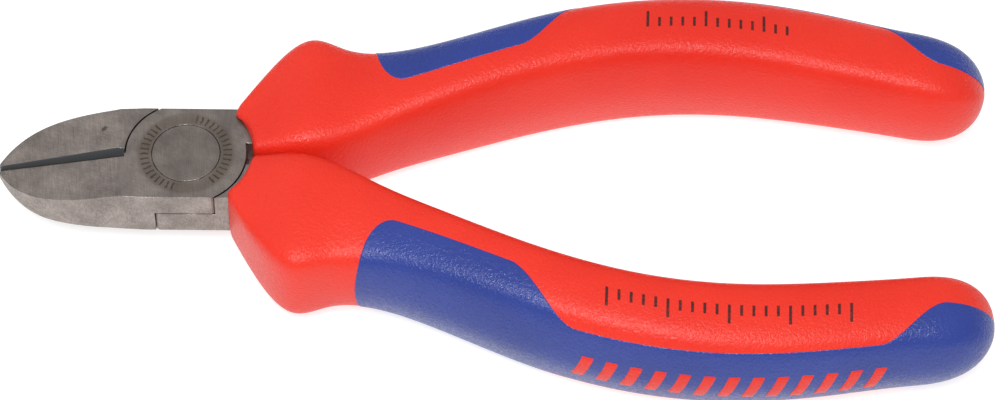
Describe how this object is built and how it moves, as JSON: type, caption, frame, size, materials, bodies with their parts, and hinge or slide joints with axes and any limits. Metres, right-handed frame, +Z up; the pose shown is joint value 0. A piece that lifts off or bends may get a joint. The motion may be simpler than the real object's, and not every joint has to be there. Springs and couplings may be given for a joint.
{
  "type": "diagonal cutting pliers",
  "caption": "Small side cutters with a riveted lap joint, ground oval jaws and curved hard-and-soft moulded grips with flared collars.",
  "frame": {"origin": "middle of the tool's footprint, on the surface it lies on", "axes": "+X along the tool from the jaws to the ends of the grips, +Y across the handles, +Z up through its thickness and along the rivet"},
  "size_m": [0.1258, 0.0566, 0.0163],
  "materials": {
    "forged_steel": "ground and lightly oiled tool steel",
    "rivet_steel": "flush-ground rivet head",
    "hard_grip": "semi-matt moulded hard plastic",
    "soft_grip": "fine-grained soft elastomer"
  },
  "bodies": {
    "lower_side": {"lower_half": "forged_steel", "joint_rivet": "rivet_steel", "lower_grip_body": "hard_grip", "lower_grip_insert": "soft_grip"},
    "upper_side": {"upper_half": "forged_steel", "upper_grip_body": "hard_grip", "upper_grip_insert": "soft_grip"}
  },
  "joints": [
    {"name": "rivet_hinge", "type": "hinge", "parent": "lower_side", "child": "upper_side", "pos_m": [-0.03907, 0, 0.00814], "axis": [0, 0, 1], "range_deg": [0, 40]}
  ]
}
